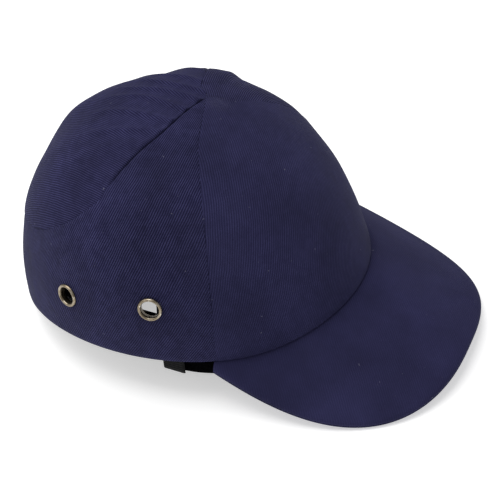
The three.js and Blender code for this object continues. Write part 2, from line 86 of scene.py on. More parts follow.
# The headband's ring: its half width, its ends, and the straight part of its sides.
RING_HALF_WIDTH = 0.0812
RING_FRONT = 0.0975
RING_REAR = 0.091
STRAIGHT_FROM = -0.025
STRAIGHT_TO = 0.014
STRAP_BOTTOM = 0.022
STRAP_HEIGHT = 0.0285
STRAP_THICKNESS = 0.0011
PATCH_THICKNESS = 0.0007
BAND_BOTTOM = 0.0105
BAND_HEIGHT = 0.0365
GAP = 0.0003
SIDES = {"right": 1, "left": -1}


# ---- The crown's surface ----

def oval(angle, half_width=HALF_WIDTH, front=FRONT_LENGTH, rear=REAR_LENGTH):
    along = np.cos(np.radians(angle))
    return -half_width * np.sin(np.radians(angle)), -np.where(along > 0, front, rear) * along


def brim_height(x, y):
    end_x, end_y = oval(BRIM_END_ANGLE)
    arch = BRIM_ARCH * ((end_x / HALF_WIDTH) ** 2 - (x / HALF_WIDTH) ** 2)
    return TEMPLE_HEM + BRIM_SLOPE * (y - end_y) + arch


def hem_height(angle):
    turn = np.abs((np.asarray(angle, float) + 180) % 360 - 180)
    x, y = oval(turn)
    s = np.clip((turn - BRIM_END_ANGLE) / (HEM_LEVEL_ANGLE - BRIM_END_ANGLE), 0, 1)
    behind = TEMPLE_HEM * (1 - s**2) ** 2 * (1 + HEM_FLATNESS * s**2)
    return np.where(turn < BRIM_END_ANGLE, brim_height(x, y), behind)


def spread(angle, u):
    """How far out a point of the crown lies, as a fraction of its hem radius."""
    ends = np.cos(np.radians(angle)) ** 2
    front = np.cos(np.radians(angle)) > 0
    _, reach, bulge = [
        side + (np.where(front, f, r) - side) * ends
        for f, side, r in zip(FRONT_SHAPE, SIDE_SHAPE, REAR_SHAPE)
    ]
    return (1 - u) ** 3 + 3 * (1 - u) ** 2 * u * (1 + 2 * bulge) + 3 * (1 - u) * u**2 * reach


def crown_point(angle, u):
    """A point of the crown's outer surface, centred on the crown's own axis."""
    x, y = oval(angle)
    ends = np.cos(np.radians(angle)) ** 2
    front = np.cos(np.radians(angle)) > 0
    rise, reach, _ = [
        side + (np.where(front, f, r) - side) * ends
        for f, side, r in zip(FRONT_SHAPE, SIDE_SHAPE, REAR_SHAPE)
    ]
    r = spread(angle, u)
    base = hem_height(angle)
    climb = 3 * (1 - u) ** 2 * u * rise + 3 * (1 - u) * u**2 + u**3
    tilt = 3 * (1 - u) * u**2 * TOP_TILT * reach * (y - CROWN_CENTRE_Y)
    z = base + (CROWN_TOP - base) * climb + tilt
    return np.stack([x * r, CROWN_CENTRE_Y + (y - CROWN_CENTRE_Y) * r, z], -1)


def crown_normal(angle, u):
    around = crown_point(angle - 0.4, u) - crown_point(angle + 0.4, u)
    up = crown_point(angle, np.minimum(u + 0.004, 1)) - crown_point(angle, np.maximum(u - 0.004, 0))
    normal = np.cross(around, up)
    length = np.linalg.norm(normal, axis=-1, keepdims=True)
    top = np.array([0, -TOP_TILT, 1]) / math.hypot(1, TOP_TILT)
    return np.where(length > 1e-12, normal / np.maximum(length, 1e-12), top)


def seam_fraction(angle):
    """The height, as a fraction of the meridian, of the rear seam."""
    turn = np.abs((np.asarray(angle, float) + 180) % 360 - 180)
    past = np.maximum(turn - REAR_SEAM, 0)
    return SEAM_BACK + (SEAM_BEND - SEAM_BACK) * np.exp(-past / SEAM_TURN)


def bisect(low, high, is_below):
    """Closes in on the values between low and high at which is_below stops being true."""
    for _ in range(28):
        middle = (low + high) / 2
        below = is_below(middle)
        low, high = np.where(below, middle, low), np.where(below, high, middle)
    return (low + high) / 2


def fraction_at(angle, height):
    """The fraction of a meridian that lies a height above the hem."""

    def is_lower(u):
        return crown_point(angle, u)[..., 2] - hem_height(angle) < height

    return bisect(np.zeros_like(angle, float), np.full_like(angle, 0.9, float), is_lower)


def smooth(value, low, high):
    t = np.clip((value - low) / (high - low), 0, 1)
    return t * t * (3 - 2 * t)


# ---- Meshes ----

def to_frame(points):
    """Moves points from the crown's axis to the row frame."""
    return points + np.array([0, AXIS_Y, 0])


def plain_object(name, points, faces):
    mesh = bpy.data.meshes.new(name)
    mesh.from_pydata([tuple(p) for p in points], [], faces)
    mesh.update()
    mesh.polygons.foreach_set("use_smooth", [True] * len(mesh.polygons))
    piece = bpy.data.objects.new(name, mesh)
    bpy.context.scene.collection.objects.link(piece)
    return piece


def new_object(name, points, faces, body, material, uvs=None):
    piece = plain_object(name, points, faces)
    mesh = piece.data
    if uvs is not None:
        layer = mesh.uv_layers.new(name="cloth")
        corners = np.empty(len(mesh.loops), int)
        mesh.loops.foreach_get("vertex_index", corners)
        layer.data.foreach_set("uv", np.asarray(uvs)[corners].ravel())
    mesh.materials.append(material)
    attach(piece, body)
    return piece


def shell_mesh(outer, inner, keep=None, closed=False):
    """Points and faces of a closed solid between two grids of points, rows by columns."""
    rows, columns = outer.shape[:2]
    points = to_frame(np.concatenate([outer.reshape(-1, 3), inner.reshape(-1, 3)]))
    under = rows * columns
    spans = columns if closed else columns - 1
    if keep is None:
        keep = np.ones((rows - 1, spans), bool)
    faces, edges = [], {}
    for r, c in np.argwhere(keep):
        a, b = r * columns + c, r * columns + (c + 1) % columns
        cell = [int(a), int(b), int(b + columns), int(a + columns)]
        faces.append(cell)
        faces.append([under + i for i in reversed(cell)])
        for i in range(4):
            start, end = cell[i], cell[(i + 1) % 4]
            if edges.pop((end, start), None) is None:
                edges[(start, end)] = True
    faces += [[b, a, under + a, under + b] for a, b in edges]
    used = np.unique(np.concatenate([np.ravel(f) for f in faces]))
    index = np.full(len(points), -1)
    index[used] = np.arange(len(used))
    return points[used], [[int(index[i]) for i in f] for f in faces], used % under


# ---- Materials ----

class Nodes:
    """A short way to write a node tree."""

    def __init__(self, name):
        self.material = bpy.data.materials.new(name)
        self.material.use_nodes = True
        self.tree = self.material.node_tree
        self.shader = self.tree.nodes["Principled BSDF"]

    def new(self, kind, inputs=(), **settings):
        node = self.tree.nodes.new(kind)
        for key, value in settings.items():
            setattr(node, key, value)
        for socket, value in dict(inputs).items():
            self.put(node.inputs[socket], value)
        return node

    def put(self, socket, value):
        if isinstance(value, bpy.types.NodeSocket):
            self.tree.links.new(value, socket)
        else:
            socket.default_value = value

    def math(self, operation, a, b=0.0, c=0.0):
        node = self.new("ShaderNodeMath", operation=operation)
        for socket, value in zip(node.inputs, (a, b, c)):
            self.put(socket, value)
        return node.outputs[0]

    def mix(self, factor, a, b, blend="MIX"):
        node = self.new("ShaderNodeMix", data_type="RGBA", blend_type=blend)
        self.put(node.inputs[0], factor)
        self.put(node.inputs[6], a)
        self.put(node.inputs[7], b)
        return node.outputs[2]

    def ramp(self, value, low, high, to_low=0.0, to_high=1.0):
        inputs = {0: value, 1: low, 2: high, 3: to_low, 4: to_high}
        return self.new("ShaderNodeMapRange", inputs, clamp=True).outputs[0]

    def noise(self, vector, scale, detail=2.0, roughness=0.5):
        inputs = {"Vector": vector, "Scale": scale, "Detail": detail, "Roughness": roughness}
        return self.new("ShaderNodeTexNoise", inputs).outputs[0]

    def finish(self, colour, roughness, height=None, depth=0.0, **uniform):
        self.put(self.shader.inputs["Base Color"], colour)
        self.put(self.shader.inputs["Roughness"], roughness)
        for key, value in uniform.items():
            self.shader.inputs[key.replace("_", " ")].default_value = value
        if height is not None:
            bump = self.new("ShaderNodeBump", {"Height": height, "Distance": depth})
            self.put(self.shader.inputs["Normal"], bump.outputs[0])
        return self.material


def rgb(red, green, blue):
    return (red, green, blue, 1.0)


SCUFF = (0.0155, AXIS_Y - 0.0150, 0.1210)  # just in front of the point where the panels meet
HANDLED = rgb(0.026, 0.025, 0.062)
LINT = rgb(0.16, 0.16, 0.22)
SCUFFED = rgb(0.12, 0.12, 0.17)


def twill(name, direction, turn=0.0, pitch=1.2 * MM, contrast=1.0, dark=(0.0085, 0.0080, 0.032),
          light=(0.040, 0.039, 0.108)):
    """Cotton twill. direction is the ribs' angle from the cloth's across direction, in degrees.
    turn is how fast the ribs lean back, per metre up the panel, where the cloth is pulled round."""
    n = Nodes(name)
    uv = n.new("ShaderNodeUVMap", uv_map="cloth").outputs[0]
    place = n.new("ShaderNodeTexCoord").outputs["Object"]
    split = n.new("ShaderNodeSeparateXYZ", {0: uv})
    along = split.outputs[1]
    across = n.math("MULTIPLY_ADD", n.math("MULTIPLY", along, along), turn / 2, split.outputs[0])
    cosine, sine = math.cos(math.radians(direction)), math.sin(math.radians(direction))
    side = n.math("SUBTRACT", n.math("MULTIPLY", along, cosine), n.math("MULTIPLY", across, sine))
    run = n.math("ADD", n.math("MULTIPLY", across, cosine), n.math("MULTIPLY", along, sine))
    drift = n.math("MULTIPLY", n.noise(place, 90, 1), 1.1 * pitch)
    ribs = n.math("DIVIDE", n.math("ADD", side, drift), pitch)
    rib = n.math("SINE", n.math("MULTIPLY", ribs, math.tau))
    rib = n.ramp(rib, -1, 1)
    # Each rib is a row of short floats, stepped from one rib to the next.
    step = n.math("MULTIPLY", n.math("FLOOR", ribs), 0.37)
    floats = n.math("ADD", n.math("DIVIDE", run, 1.9 * pitch), step)
    crossing = n.ramp(n.math("SINE", n.math("MULTIPLY", floats, math.tau)), -1, 1)
    fibre = n.noise(place, 1400, 2, 0.6)
    slub = n.noise(place, 210, 2)
    thread = n.math("MULTIPLY", rib, n.ramp(crossing, 0, 1, 0.88, 1.0))
    thread = n.math("MULTIPLY", thread, n.ramp(slub, 0.3, 0.7, 0.55, 1.15))
    thread = n.math("ADD", thread, n.math("MULTIPLY", n.math("SUBTRACT", fibre, 0.5), 0.5))
    weave = n.ramp(thread, 0, 1, 0.5 - 0.5 * contrast, 0.5 + 0.5 * contrast)
    cloth = n.mix(weave, rgb(*dark), rgb(*light))
    # Dye takes unevenly, and the cloth is a little greyer where it has been handled.
    cloud = n.ramp(n.noise(place, 34, 4), 0.3, 0.7, 0.80, 1.18)
    shade = n.new("ShaderNodeCombineColor", {0: cloud, 1: cloud, 2: cloud}).outputs[0]
    cloth = n.mix(1.0, cloth, shade, "MULTIPLY")
    worn = n.ramp(n.noise(place, 14, 2), 0.52, 0.72, 0.0, 0.3)
    cloth = n.mix(worn, cloth, HANDLED)
    lint = n.ramp(n.noise(place, 430, 1), 0.775, 0.82)
    cloth = n.mix(n.math("MULTIPLY", lint, 0.5), cloth, LINT)
    gauge = n.new("ShaderNodeVectorMath", {0: place, 1: SCUFF}, operation="DISTANCE")
    from_scuff = gauge.outputs["Value"]
    scuff = n.math("MULTIPLY", n.ramp(from_scuff, 9 * MM, 1 * MM), n.ramp(fibre, 0.45, 0.6))
    cloth = n.mix(n.math("MULTIPLY", scuff, 0.22), cloth, SCUFFED)
    height = n.math("ADD", thread, n.math("MULTIPLY", slub, 0.6))
    rough = n.ramp(slub, 0.2, 0.8, 0.82, 0.95)
    return n.finish(
        cloth, rough, height, 0.16 * MM * contrast + 0.04 * MM,
        Specular_IOR_Level=0.1, Sheen_Weight=0.05, Sheen_Roughness=0.5,
        Sheen_Tint=rgb(0.5, 0.52, 0.95),
    )


def woven(name, dark, light, pitch=1.1 * MM, fuzz=0.05):
    """Plain woven tape or lining, on the object's own coordinates."""
    n = Nodes(name)
    place = n.new("ShaderNodeTexCoord").outputs["Object"]
    split = n.new("ShaderNodeSeparateXYZ", {0: place})
    waves = [
        n.ramp(n.math("SINE", n.math("MULTIPLY", axis, math.tau / size)), -1, 1)
        for axis, size in ((split.outputs[2], pitch), (split.outputs[1], 1.7 * pitch))
    ]
    weave = n.math("MULTIPLY_ADD", waves[0], 0.65, n.math("MULTIPLY", waves[1], 0.35))
    fibre = n.noise(place, 1100, 2, 0.6)
    weave = n.math("ADD", weave, n.math("MULTIPLY", n.math("SUBTRACT", fibre, 0.5), 0.6))
    cloud = n.ramp(n.noise(place, 60, 2), 0.3, 0.7, 0.0, 0.3)
    colour = n.mix(weave, rgb(*dark), rgb(*light))
    colour = n.mix(cloud, colour, rgb(*dark))
    rough = n.ramp(fibre, 0.2, 0.8, 0.7, 0.92)
    return n.finish(colour, rough, weave, 0.2 * MM, Specular_IOR_Level=0.15, Sheen_Weight=fuzz,
                    Sheen_Roughness=0.5)


def towelling(name):
    """Dull black towelling."""
    n = Nodes(name)
    place = n.new("ShaderNodeTexCoord").outputs["Object"]
    loops = n.new("ShaderNodeTexVoronoi", {"Vector": place, "Scale": 700}).outputs["Distance"]
    tuft = n.noise(place, 260, 3)
    height = n.math("SUBTRACT", n.math("MULTIPLY", tuft, 0.8), loops)
    colour = n.mix(n.ramp(height, -0.5, 0.4), rgb(0.0006, 0.0006, 0.0008), rgb(0.003, 0.003, 0.0036))
    rough = n.ramp(tuft, 0.2, 0.8, 0.88, 1.0)
    return n.finish(colour, rough, height, 0.6 * MM, Specular_IOR_Level=0.0)


def moulded(name, dark, light, roughness, grain=900, depth=0.05 * MM):
    """Moulded plastic with a fine grain and slightly uneven gloss."""
    n = Nodes(name)
    place = n.new("ShaderNodeTexCoord").outputs["Object"]
    texture = n.noise(place, grain, 3, 0.6)
    flow = n.noise(place, 35, 2)
    colour = n.mix(n.ramp(flow, 0.3, 0.7), rgb(*dark), rgb(*light))
    rough = n.ramp(n.math("ADD", texture, flow), 0.6, 1.4, roughness - 0.08, roughness + 0.12)
    return n.finish(colour, rough, texture, depth)


def foam(name):
    n = Nodes(name)
    place = n.new("ShaderNodeTexCoord").outputs["Object"]
    cells = n.new("ShaderNodeTexVoronoi", {"Vector": place, "Scale": 1100}).outputs["Distance"]
    cloud = n.noise(place, 70, 3)
    value = n.math("MULTIPLY_ADD", cells, 0.8, n.math("MULTIPLY", cloud, 0.4))
    colour = n.mix(n.ramp(value, 0.1, 0.9), rgb(0.012, 0.012, 0.014), rgb(0.05, 0.05, 0.056))
    return n.finish(colour, n.ramp(cloud, 0.3, 0.7, 0.85, 0.97), cells, 0.25 * MM)


def antique_brass(name):
    """Brass with a pale worn crown and brown patina down its sides."""
    n = Nodes(name)
    place = n.new("ShaderNodeTexCoord").outputs["Object"]
    patina = n.noise(place, 420, 4, 0.65)
    scratch = n.noise(place, 2600, 2)
    edge = n.new("ShaderNodeNewGeometry").outputs["Pointiness"]
    wear = n.math("ADD", n.ramp(edge, 0.5, 0.56, -0.2, 0.35), patina)
    colour = n.mix(n.ramp(wear, 0.3, 0.75), rgb(0.28, 0.23, 0.16), rgb(0.82, 0.77, 0.67))
    rough = n.ramp(n.math("ADD", patina, scratch), 0.6, 1.4, 0.24, 0.5)
    return n.finish(colour, rough, patina, 0.05 * MM, Metallic=1.0)


FRONT_TWILL = twill("twill_front", 44, pitch=1.3 * MM, contrast=0.65)
RIGHT_TWILL = twill("twill_right_side", 71, turn=6.5, contrast=1.3)
LEFT_TWILL = twill("twill_left_side", 71, turn=6.5, contrast=1.3)
REAR_TWILL = twill("twill_rear", 64, contrast=1.1)
BRIM_TWILL = twill("twill_brim", 40, contrast=0.25)
TAPE = woven("bias_tape", (0.012, 0.012, 0.02), (0.04, 0.04, 0.06))
WEBBING = woven("webbing", (0.0015, 0.0015, 0.002), (0.006, 0.006, 0.0065), 1.6 * MM, 0.01)
HOOKS = woven("hook_and_loop", (0.001, 0.001, 0.0015), (0.006, 0.006, 0.0065), 0.8 * MM, 0.02)
TERRY = towelling("towelling")
BOARD = moulded("pressed_board", (0.3, 0.3, 0.28), (0.4, 0.4, 0.37), 0.6, 500)
SHELL = moulded("shell_plastic", (0.010, 0.010, 0.012), (0.017, 0.017, 0.019), 0.58)
RIVET = moulded("rivet_plastic", (0.007, 0.007, 0.008), (0.013, 0.013, 0.014), 0.35)
FOAM = foam("foam")
BRASS = antique_brass("antique_brass")


# ---- Cloth over the crown ----

GATHER_CENTRE = np.array([0.0155, 0.0015])  # where the four panels meet, from the crown's centre
GATHER_REACH = 0.3
PANEL_TIP = 0.9985
FRONT_SEAM_DEPTH = 0.18 * MM
CLOTH_HOLE = 5.5 * MM  # the radius of the holes for the eyelets


def gathered(angle, u):
    """Where a seam's parameters lie on the crown once the panels meet off its centre."""
    base = crown_point(angle, u)[..., :2]
    r = spread(angle, u)
    weight = 1 - smooth(r, 0, GATHER_REACH)
    target = base + weight[..., None] * GATHER_CENTRE
    offset = target - np.array([0, CROWN_CENTRE_Y])
    bearing = np.degrees(np.arctan2(-offset[..., 0], -offset[..., 1]))

    def is_short(turn):
        x, y = oval(turn)
        seen = np.degrees(np.arctan2(-x, -(y - CROWN_CENTRE_Y)))
        return (seen - bearing + 180) % 360 - 180 < 0

    new_angle = bisect(bearing - 30, bearing + 30, is_short)
    x, y = oval(new_angle)
    wanted = np.hypot(*np.moveaxis(offset, -1, 0)) / np.hypot(x, y - CROWN_CENTRE_Y)

    def is_wide(fraction):
        return spread(new_angle, fraction) > wanted

    new_u = bisect(np.zeros_like(wanted), np.ones_like(wanted), is_wide)
    moved = weight > 1e-4
    return np.where(moved, new_angle, angle), np.where(moved, new_u, u)


def cloth_map(points, angle, u):
    """Flattens a panel around its middle, so that the weave's lines stay straight on it."""
    bend_radius = 0.095
    middle = crown_point(np.array([angle], float), np.array([u]))[0]
    normal = crown_normal(np.array([angle], float), np.array([u]))[0]
    up = np.array([0, 0, 1.0]) - normal * normal[2]
    up /= np.linalg.norm(up)
    across = np.cross(up, normal)
    offset = points - middle
    chord = np.linalg.norm(offset, axis=-1)
    arc = 2 * bend_radius * np.arcsin(np.clip(chord / (2 * bend_radius), 0, 1))
    plan = np.stack([offset @ across, offset @ up], -1)
    length = np.maximum(np.linalg.norm(plan, axis=-1), 1e-9)
    return plan * (arc / length)[..., None]


# Places where the cloth stands off the plain crown: angle, fraction of the meridian, height,
# and the half widths in degrees and in fractions.
BULGES = [
    (-176, 0.54, 2.9 * MM, 13, 0.13),
    (-160, 0.62, 0.7 * MM, 10, 0.12),
    (-130, 0.63, -0.7 * MM, 8, 0.12),
    (-65, 0.47, 1.3 * MM, 8, 0.13),
]
FOLD = {"from": -113, "to": -90.5, "u": 0.61, "height": 2.6 * MM, "reach": 0.16}


def bulges(angle, u):
    """Lifts of the cloth, with one soft fold that ends in a short step on the left side."""
    angle = (angle + 180) % 360 - 180
    lift = np.zeros(np.shape(u))
    for centre, middle, height, wide, tall in BULGES:
        turn = (angle - centre + 180) % 360 - 180
        lift += height * np.exp(-((turn / wide) ** 2) - ((u - middle) / tall) ** 2)
    start = smooth(angle, FOLD["from"] - 14, FOLD["from"] + 4)
    end = 1 - smooth(angle, FOLD["to"] - 3, FOLD["to"] + 3)
    beyond = np.exp(-(((angle - FOLD["to"] - 8) / 6) ** 2))
    along = np.exp(-(((u - FOLD["u"]) / FOLD["reach"]) ** 2))
    return lift + along * (FOLD["height"] * start * end - 0.6 * MM * beyond)


# Gathers in the rear panel: sideways place at the seam and at the back, height and half width.
GATHERS = [
    (-0.030, -0.044, 0.55 * MM, 2.4 * MM),
    (-0.020, -0.030, 0.95 * MM, 2.2 * MM),
    (-0.010, -0.014, 1.3 * MM, 2.1 * MM),
    (0.0005, 0.001, 1.45 * MM, 2.0 * MM),
    (0.0105, 0.013, 1.5 * MM, 2.0 * MM),
    (0.0200, 0.025, 1.45 * MM, 2.0 * MM),
    (0.0300, 0.038, 1.15 * MM, 2.3 * MM),
    (0.0420, 0.054, 0.6 * MM, 2.6 * MM),
]
GATHER_FROM = -0.012
GATHER_TO = 0.052


def gathers(points):
    x, y = points[..., 0], points[..., 1]
    t = (y - GATHER_FROM) / (GATHER_TO - GATHER_FROM)
    fade = smooth(t, 0.0, 0.12) * (1 - smooth(t, 0.45, 1.05))
    lift = np.zeros_like(x)
    for number, (start, end, height, width) in enumerate(GATHERS):
        sway = 1.2 * MM * np.sin(5 * t + 1.7 * number)
        centre = start + (end - start) * t + sway
        lift += height * np.exp(-(((x - centre) / width) ** 2))
    return fade * (lift - 0.35 * MM)


def rumple(points, seed, size, height):
    """Soft unevenness of cloth: a few sine waves in fixed random directions."""
    rng = np.random.default_rng(seed)
    total = np.zeros(points.shape[:-1])
    for _ in range(7):
        direction = rng.normal(size=3)
        direction *= math.tau / (size * rng.uniform(0.7, 1.6)) / np.linalg.norm(direction)
        total += np.sin(points @ direction + rng.uniform(0, math.tau))
    return height * total / 3


def arcs(points, axis):
    """Distances walked along a grid's rows (axis 1) or columns (axis 0) from its first line."""
    steps = np.linalg.norm(np.diff(points, axis=axis), axis=-1)
    return np.concatenate([np.zeros_like(np.take(steps, [0], axis)), np.cumsum(steps, axis)], axis)


def seam_roll(distance, depth, ridge=0.0):
    """Cloth turning down into a seam, with the fold of its allowance a little further in."""
    roll = -depth * np.clip(1 - distance / (1.4 * MM), 0, 1) ** 2
    return roll + ridge * np.exp(-(((distance - 4 * MM) / (2.4 * MM)) ** 2))


def pucker(distance, walked, size):
    """Stitches pull small dimples along a seam."""
    near = np.exp(-(distance / (4 * MM)) ** 2)
    return -size * near * (0.5 + 0.5 * np.sin(math.tau * walked / (3.4 * MM)))


def crown_panel(name, angles, fractions, material, seams, middle, keep=None, creases=None, seed=1):
    """One panel of the crown. seams gives its seams' distances, depths and ridges from the arcs."""
    columns = np.broadcast_to(angles, fractions.shape)
    angle, u = gathered(columns, fractions)
    points = crown_point(angle, u)
    normals = crown_normal(angle, u)
    across, along = arcs(points, 1), arcs(points, 0)
    # Near the meeting point the seams run together, and their rolls die out.
    from_tip = np.hypot(*(np.moveaxis(points[..., :2], -1, 0) - tip_place()[:, None, None]))
    tip = smooth(from_tip, 1.0 * MM, 7 * MM)
    # The seams on the left are pulled nearly flat near the meeting point.
    is_left = points[..., 0] > tip_place()[0]
    flattest = 0.03
    pulled = flattest + (1 - flattest) * smooth(from_tip, 18 * MM, 60 * MM)
    tip = tip * np.where(is_left, pulled, 1.0)
    lift = np.zeros(fractions.shape)
    for distance, depth, ridge in seams(across, along):
        lift += tip * seam_roll(distance, depth, ridge)
        lift += tip * pucker(distance, across + along, np.minimum(0.16 * MM, 0.4 * depth))
    hem = crown_point(columns, fractions)[..., 2] - hem_height(columns)
    lift += seam_roll(hem, 0.4 * MM, 0.15 * MM)
    lift += rumple(points, seed, 0.055, 0.35 * MM) * smooth(hem, 0, 0.02)
    lift += rumple(points, seed + 50, 0.018, 0.09 * MM) * smooth(hem, 0, 0.02)
    lift += bulges(angle, u)
    if creases is not None:
        lift += creases(points)
    outer = points + normals * lift[..., None]
    # The lining sinks a little where the cloth does, and doesn't follow its lifts.
    inner = points - normals * FABRIC + 0.3 * normals * np.minimum(lift, 0)[..., None]
    floor = np.where(fractions == 0, hem_height(columns), -1)
    for layer in (outer, inner):
        layer[..., 2] = np.maximum(layer[..., 2], floor)
    uvs = cloth_map(points, *middle)
    vertices, faces, source = shell_mesh(outer, inner, keep)
    piece = new_object(name, vertices, faces, "cap", material, uvs.reshape(-1, 2)[source])
    piece.data.set_sharp_from_angle(angle=math.radians(50))
    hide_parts(name)
    return piece


def rear_seam_depth(angles, above):
    """The rear seam is sunk where it climbs, and lies nearly flat around its corner and behind."""
    level_depth, climbing_depth = 0.08 * MM, 0.88 * MM
    past = np.maximum(np.abs((angles + 180) % 360 - 180) - REAR_SEAM - 3, 0)
    climbing = np.exp(-past / 7) * smooth(above, 2 * MM, 20 * MM)
    return level_depth + (climbing_depth - level_depth) * climbing


def tip_place():
    return np.array([0, CROWN_CENTRE_Y]) + GATHER_CENTRE


def low_rows(angles, count):
    return np.linspace(0, 1, count)[:, None] * seam_fraction(angles)


def high_rows(angles, count):
    start = seam_fraction(angles)
    return start + np.linspace(0, 1, count)[:, None] * (PANEL_TIP - start)


def front_panel():
    angles = np.linspace(-FRONT_SEAM, FRONT_SEAM, 151)
    rows = np.concatenate([low_rows(angles, 70), high_rows(angles, 80)[1:]])

    def seams(across, along):
        return [(across, FRONT_SEAM_DEPTH, 0.0), (across[:, -1:] - across, FRONT_SEAM_DEPTH, 0.0)]

    piece = crown_panel("front_panel", angles, rows, FRONT_TWILL, seams, (0, 0.45), seed=3)


def side_panel(side):
    sign = SIDES[side]
    forward = np.linspace(FRONT_SEAM, REAR_SEAM, 56)
    angles = np.concatenate([forward, np.linspace(REAR_SEAM, 180, 90)[1:]])
    low, high = low_rows(angles, 70), high_rows(angles, 80)
    rows = np.concatenate([low, high[1:]])
    bend, corner = len(low) - 1, len(forward) - 1
    keep = np.ones((len(rows) - 1, len(angles) - 1), bool)
    keep[bend:, corner:] = False

    def seams(across, along):
        to_line = np.abs(across[:, corner : corner + 1] - across)
        to_level = np.abs(along[bend : bend + 1] - along)
        left_of, below = np.arange(len(angles)) <= corner, np.arange(len(rows))[:, None] <= bend
        rear = np.where(left_of & below, np.hypot(to_line, to_level), 0)
        rear = np.where(left_of & ~below, to_line, rear)
        rear = np.where(~left_of & below, to_level, rear)
        return [
            (across, FRONT_SEAM_DEPTH, 0.0),
            (rear, rear_seam_depth(angles, along - along[bend]), 0.1 * MM),
            (across[:, -1:] - across + 10 * ~below, 0.5 * MM, 0.0),
        ]

    material = RIGHT_TWILL if side == "right" else LEFT_TWILL
    middle = (sign * 105, 0.25)
    piece = crown_panel(f"{side}_side_panel", sign * angles, rows, material, seams, middle, keep, seed=5)
    for which in EYELETS:
        drill_hole(piece, eyelet_place(side, which), CLOTH_HOLE, 12 * MM)


def drill_hole(piece, place, radius, length):
    """Cuts a round hole through a piece, centred on a place and along its direction."""
    profile = [(0, -length / 2), (radius, -length / 2), (radius, length / 2), (0, length / 2)]
    cutter = lathe("cutter", profile, place, 48)
    cut = piece.modifiers.new("hole", "BOOLEAN")
    cut.operation = "DIFFERENCE"
    cut.object = cutter
    apply_modifiers(piece)
    bpy.data.objects.remove(cutter)


def apply_modifiers(piece):
    graph = bpy.context.evaluated_depsgraph_get()
    mesh = bpy.data.meshes.new_from_object(piece.evaluated_get(graph))
    old = piece.data
    piece.modifiers.clear()
    piece.data = mesh
    bpy.data.meshes.remove(old)


def rear_crown_panel():
    angles = np.linspace(REAR_SEAM, 360 - REAR_SEAM, 221)
    rows = high_rows(angles, 110)

    def seams(across, along):
        ends = np.minimum(across, across[:, -1:] - across)
        depth = rear_seam_depth(angles, along)
        return [(np.minimum(ends, along), depth, 0.45 * depth)]

    piece = crown_panel("rear_crown_panel", angles, rows, REAR_TWILL, seams, (180, 0.6),
                        creases=gathers, seed=9)


# ---- Tapes ----

def tape_strip(name, angles, fractions, closed=False):
    """A flat tape just inside the crown, with its two selvedges turned in a little."""
    depth, thickness = 2.8 * MM, 0.6 * MM
    angle, u = (angles, fractions) if closed else gathered(angles, fractions)
    points, normals = crown_point(angle, u), crown_normal(angle, u)
    count = points.shape[0] if closed else points.shape[1]
    rounding = 0.12 * MM * np.cos(np.linspace(-1, 1, count) * math.pi / 2)
    rounding = rounding[:, None, None] if closed else rounding[None, :, None]
    outer = points - normals * depth
    inner = points - normals * (depth + thickness + rounding)
    vertices, faces, _ = shell_mesh(outer, inner, closed=closed)
    piece = new_object(name, vertices, faces, "cap", TAPE)
    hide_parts(name)
    return piece


def tapes():
    half_width = 3.2  # degrees
    angles = np.linspace(0, 360, 241)[:-1]
    rows = np.stack([fraction_at(angles, h) for h in np.linspace(2.5, 13, 7) * MM])
    tape_strip("hem_tape", np.broadcast_to(angles, rows.shape), rows, closed=True)
    for side, sign in SIDES.items():
        for seam, where, lowest in ((FRONT_SEAM, "front", 0), (REAR_SEAM, "rear", SEAM_BEND + 0.04)):
            angles = sign * seam + np.linspace(-half_width, half_width, 7)
            start = np.maximum(fraction_at(angles, 15 * MM), lowest)
            rows = start + np.linspace(0, 1, 60)[:, None] * (0.9 - start)
            tape_strip(f"{side}_{where}_seam_tape", np.broadcast_to(angles, rows.shape), rows)


# ---- Brim ----

def brim_layer(name, top, thickness, turn, tuck, material, seed):
    """A cover of the brim. Its outer edge turns by turn towards the other cover."""
    columns, rows = 160, 70
    across = np.linspace(-1, 1, columns)
    hem = np.stack(oval(across * BRIM_END_ANGLE, HALF_WIDTH - tuck, FRONT_LENGTH - tuck), -1)
    power = 2 / BRIM_ROUNDNESS
    angle = np.radians(90 * across)
    reach = np.abs(np.cos(angle)) ** power
    side = np.sign(np.sin(angle)) * np.abs(np.sin(angle)) ** power
    end_y = oval(BRIM_END_ANGLE)[1]
    edge = np.stack([-BRIM_HALF_WIDTH * side * (1 + BRIM_FLARE * reach), end_y - BRIM_REACH * reach], -1)
    out = smooth_ends(rows)
    plan = hem + out[:, None, None] * (edge - hem)
    z = brim_height(plan[..., 0], plan[..., 1])
    points = np.concatenate([plan, z[..., None]], -1)
    to_edge = arcs(points[::-1], 0)[::-1]
    bend = np.clip(1 - to_edge / (2.0 * MM), 0, 1)
    lift = -turn * (1 - np.sqrt(np.clip(1 - bend**2, 0, 1)))
    ridge = 0.18 * MM * np.exp(-(((to_edge - 5 * MM) / (2 * MM)) ** 2))
    from_hem = np.maximum(arcs(points, 0) - tuck, 0)
    lift += np.sign(turn) * (ridge - 0.5 * MM * np.exp(-((from_hem / (2.2 * MM)) ** 2)))
    lift += rumple(points, seed, 0.06, 0.2 * MM) * smooth(to_edge, 0, 0.02) * smooth(from_hem, 0, 0.02)
    points[..., 2] += lift - top
    other = points.copy()
    other[..., 2] -= thickness
    uvs = np.stack([plan[..., 0], plan[..., 1]], -1)
    vertices, faces, source = shell_mesh(points, other)
    piece = new_object(name, vertices, faces, "cap", material, uvs.reshape(-1, 2)[source])
    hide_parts(name)


def smooth_ends(count):
    """Fractions from 0 to 1 that crowd towards both ends."""
    t = np.linspace(0, 1, count)
    return 0.75 * (0.5 - 0.5 * np.cos(math.pi * t)) + 0.25 * t


